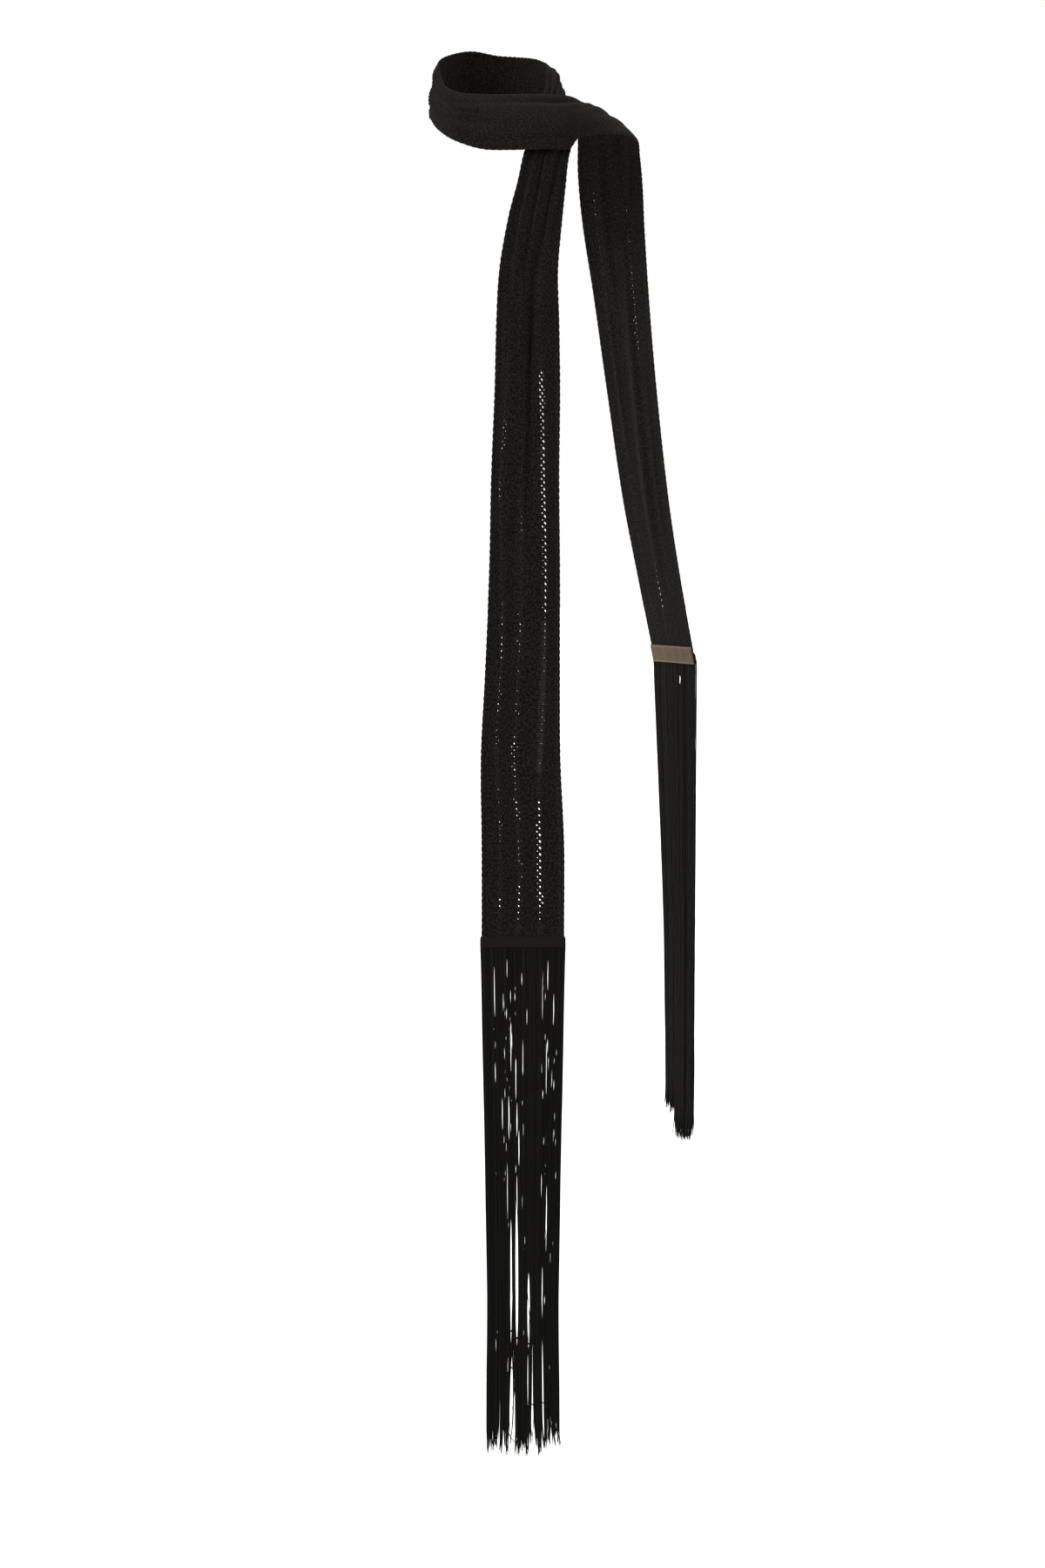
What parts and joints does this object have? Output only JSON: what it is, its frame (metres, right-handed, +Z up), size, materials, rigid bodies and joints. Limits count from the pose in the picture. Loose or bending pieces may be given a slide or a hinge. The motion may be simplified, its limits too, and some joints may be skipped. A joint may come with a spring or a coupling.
{
  "type": "skinny knit scarf",
  "caption": "Long narrow openwork knit scarf with a long thread fringe at both ends, worn once round the neck with one end down the front and one over the shoulder.",
  "frame": {"origin": "the middle of the neck loop, where the wearer's neck goes through it", "axes": "+Z up along the wearer's neck, -Y out of the chest, so the front end hangs on the -Y side; +X towards the shoulder that carries the other end"},
  "size_m": [0.2849, 0.2548, 1.4526],
  "materials": {
    "knit": "matt black fine knit with a soft dull sheen",
    "thread": "black twisted thread, slightly smoother than the knit",
    "tape": "beige satin-faced tape"
  },
  "bodies": {
    "root": {"front_panel": "knit", "neck_rise": "knit", "neck_back": "knit", "neck_side": "knit", "neck_front": "knit", "shoulder": "knit", "back_panel": "knit", "fringe_front": "thread", "fringe_back": "thread", "inner_tape": "tape"}
  },
  "joints": []
}
